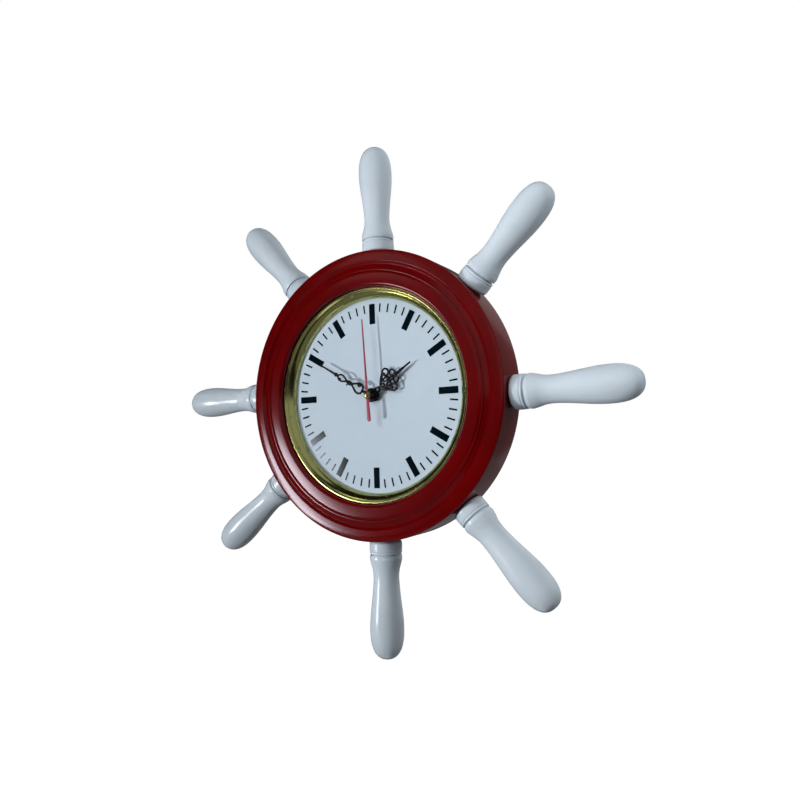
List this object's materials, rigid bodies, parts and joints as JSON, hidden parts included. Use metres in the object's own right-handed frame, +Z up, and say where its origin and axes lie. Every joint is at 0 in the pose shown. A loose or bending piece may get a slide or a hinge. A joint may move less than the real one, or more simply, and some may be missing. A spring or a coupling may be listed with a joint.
{
  "type": "ships wheel wall clock",
  "caption": "Battery wall clock in a ship's-wheel ring: moulded red ring, turned white handles, brass bezel, plain marked dial, scroll-work hands and quartz movement.",
  "frame": {"origin": "on the dial's axis, in the plane of the wall that the back of the wheel rests against", "axes": "+Z up through the 12 o'clock mark, -Y out of the dial towards the viewer, +X towards the 3 o'clock mark"},
  "size_m": [0.4517, 0.0375, 0.4521],
  "materials": {
    "red_paint": "turned wood, glossy oxblood-red enamel paint",
    "white_paint": "turned wood, glossy white enamel paint",
    "brass_bezel": "spun, polished and lacquered",
    "dial_white": "satin white, printed black marks",
    "hardboard": "bare pressed fibre board",
    "brass_fittings": "turned and plated, semi-bright",
    "black_fittings": "turned, blackened",
    "hand_black": "black enamel on blanked sheet",
    "hand_red": "red enamel on blanked sheet",
    "gear_plastic": "moulded acetal",
    "case_plastic": "moulded, fine texture",
    "amber_plastic": "moulded",
    "rubber": "flat cut washer",
    "magnet_steel": "blanked and plain",
    "nickel_plate": "nickel plated",
    "copper_wire": "enamelled copper wire, close wound",
    "circuit_green": "solder mask on laminate",
    "battery_sleeve": "plain printed sleeve",
    "zinc_steel": "zinc plated"
  },
  "bodies": {
    "case": {"wheel_body": "red_paint", "handle_1": "white_paint", "handle_2": "white_paint", "handle_3": "white_paint", "handle_4": "white_paint", "handle_5": "white_paint", "handle_6": "white_paint", "handle_7": "white_paint", "handle_8": "white_paint", "brass_bezel": "brass_bezel", "dial_plate": "dial_white", "backing_board": "hardboard", "board_screw_1": "brass_fittings", "board_screw_2": "brass_fittings", "board_screw_3": "brass_fittings", "board_screw_4": "brass_fittings", "rubber_gasket": "rubber", "dial_washer": "black_fittings", "fixing_nut": "black_fittings", "movement_case": "case_plastic", "movement_cover": "case_plastic", "stator": "magnet_steel", "coil_core": "nickel_plate", "coil_bobbin": "amber_plastic", "coil_winding": "copper_wire", "circuit_board": "circuit_green", "quartz_crystal": "nickel_plate", "contact_positive": "nickel_plate", "contact_negative": "nickel_plate", "hanger_plate": "zinc_steel", "hanger_nail_1": "zinc_steel", "hanger_nail_2": "zinc_steel"},
    "second": {"second_hand": "hand_red", "second_cap": "brass_fittings", "second_wheel": "gear_plastic"},
    "intermediate": {"intermediate_wheel": "gear_plastic"},
    "rotor": {"rotor": "magnet_steel"},
    "third": {"third_wheel": "gear_plastic"},
    "minute": {"minute_hand": "hand_black", "hand_nut": "brass_fittings", "centre_wheel": "gear_plastic"},
    "motion": {"minute_wheel": "gear_plastic"},
    "hour": {"hour_hand": "hand_black", "hour_collet": "brass_fittings", "hour_wheel": "gear_plastic"},
    "set": {"set_knob": "gear_plastic"},
    "cell": {"battery": "battery_sleeve"}
  },
  "joints": [
    {"name": "second_turn", "type": "hinge", "parent": "case", "child": "second", "pos_m": [0, 0, 0], "axis": [0, 1, 0], "continuous": true},
    {"name": "intermediate_turn", "type": "hinge", "parent": "case", "child": "intermediate", "pos_m": [0.00903, 0, 0], "axis": [0, 1, 0], "continuous": true},
    {"name": "rotor_turn", "type": "hinge", "parent": "case", "child": "rotor", "pos_m": [0.01371, 0, 0.0027], "axis": [0, 1, 0], "continuous": true},
    {"name": "third_turn", "type": "hinge", "parent": "case", "child": "third", "pos_m": [-0.00891, 0, 0], "axis": [0, 1, 0], "continuous": true},
    {"name": "minute_turn", "type": "hinge", "parent": "case", "child": "minute", "pos_m": [0, 0, 0], "axis": [0, 1, 0], "continuous": true},
    {"name": "motion_turn", "type": "hinge", "parent": "case", "child": "motion", "pos_m": [0, 0, 0.0081], "axis": [0, 1, 0], "continuous": true},
    {"name": "hour_turn", "type": "hinge", "parent": "case", "child": "hour", "pos_m": [0, 0, 0], "axis": [0, 1, 0], "continuous": true},
    {"name": "set_turn", "type": "hinge", "parent": "case", "child": "set", "pos_m": [-0.00652, 0, 0.01462], "axis": [0, 1, 0], "continuous": true},
    {"name": "battery_slide", "type": "slide", "parent": "case", "child": "cell", "axis": [0, 1, 0], "range_m": [0, 0.03]}
  ],
  "couplings": [
    {"joint": "intermediate_turn", "follows": "second_turn", "ratio": -6},
    {"joint": "rotor_turn", "follows": "second_turn", "ratio": 30},
    {"joint": "third_turn", "follows": "second_turn", "ratio": -0.125},
    {"joint": "minute_turn", "follows": "second_turn", "ratio": 0.016667},
    {"joint": "motion_turn", "follows": "second_turn", "ratio": -0.0055556},
    {"joint": "hour_turn", "follows": "second_turn", "ratio": 0.0013889},
    {"joint": "set_turn", "follows": "second_turn", "ratio": 0.010714}
  ]
}
